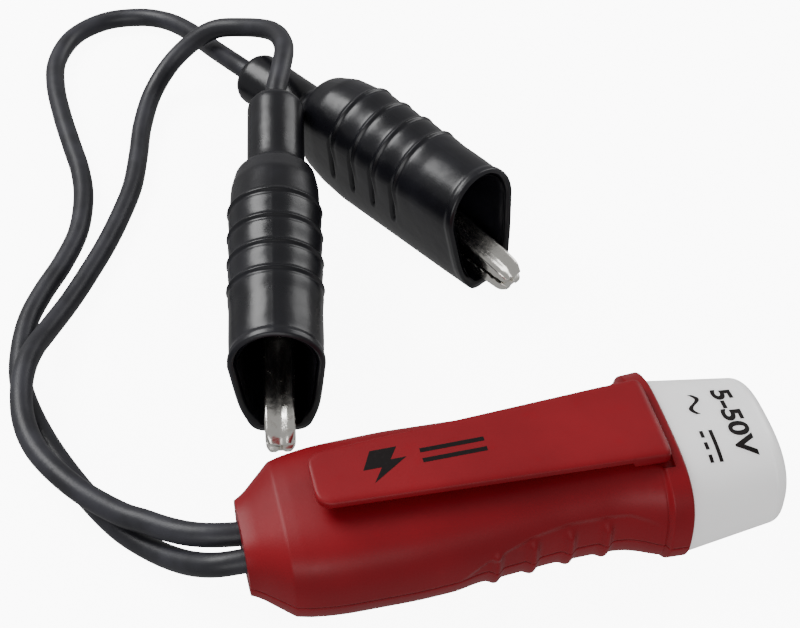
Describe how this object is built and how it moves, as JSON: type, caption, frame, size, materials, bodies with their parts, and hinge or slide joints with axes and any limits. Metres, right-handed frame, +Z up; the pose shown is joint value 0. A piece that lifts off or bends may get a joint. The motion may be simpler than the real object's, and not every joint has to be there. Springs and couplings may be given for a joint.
{
  "type": "circuit test light",
  "caption": "Hand-held low-voltage circuit test light: red two-shell body with pocket clip, milky lens over indicator lamps, and two black leads ending in booted alligator clips.",
  "frame": {"origin": "on the flat base, under the middle of the tester's own length and width", "axes": "+X along the tester towards the lens, +Z up out of the pocket clip's face"},
  "size_m": [0.0904, 0.129, 0.0228],
  "materials": {
    "red_plastic": "satin moulded red plastic",
    "milky_plastic": "milky translucent plastic",
    "board_laminate": "green printed circuit laminate",
    "led_red_epoxy": "clear red epoxy",
    "led_amber_epoxy": "clear amber epoxy",
    "black_epoxy": "black moulding compound",
    "resistor_coat": "tan lacquer",
    "tinned_copper": "tinned copper strands",
    "black_cable": "soft black cable jacket",
    "black_vinyl": "glossy soft black vinyl",
    "nickel_plate": "bright nickel plate",
    "pin_steel": "plain steel"
  },
  "bodies": {
    "tester": {"upper_housing": "red_plastic", "lower_housing": "red_plastic", "lens": "milky_plastic", "circuit_board": "board_laminate", "led_1": "led_red_epoxy", "led_2": "led_amber_epoxy", "bridge_rectifier": "black_epoxy", "regulator_transistor": "black_epoxy", "resistor_1": "resistor_coat", "resistor_2": "resistor_coat", "board_wire_a": "tinned_copper", "board_wire_b": "tinned_copper", "lead_a": "black_cable", "lead_b": "black_cable", "boot_a": "black_vinyl", "lower_jaw_a": "nickel_plate", "pivot_pin_a": "pin_steel", "jaw_spring_a": "pin_steel", "clip_wire_a": "tinned_copper", "boot_b": "black_vinyl", "lower_jaw_b": "nickel_plate", "pivot_pin_b": "pin_steel", "jaw_spring_b": "pin_steel", "clip_wire_b": "tinned_copper"},
    "clip": {"pocket_clip": "red_plastic"},
    "jaw_a": {"upper_jaw_a": "nickel_plate"},
    "jaw_b": {"upper_jaw_b": "nickel_plate"}
  },
  "joints": [
    {"name": "pocket_clip_flex", "type": "hinge", "parent": "tester", "child": "clip", "pos_m": [0.0176, 0, 0.0153], "axis": [0, 1, 0], "range_deg": [0, 5], "stiffness_Nm_per_rad": 0.6, "springref_deg": -3.44},
    {"name": "jaw_a_hinge", "type": "hinge", "parent": "tester", "child": "jaw_a", "pos_m": [-0.02035, 0.04206, 0.011], "axis": [-0.9829, 0.184, 0], "range_deg": [0, 22], "stiffness_Nm_per_rad": 0.05, "springref_deg": -20.05, "deforming": ["jaw_spring_a"]},
    {"name": "jaw_b_hinge", "type": "hinge", "parent": "tester", "child": "jaw_b", "pos_m": [-0.00118, 0.06127, 0.0082], "axis": [-0.859, -0.512, 0], "range_deg": [0, 22], "stiffness_Nm_per_rad": 0.05, "springref_deg": -20.05, "deforming": ["jaw_spring_b"]}
  ]
}
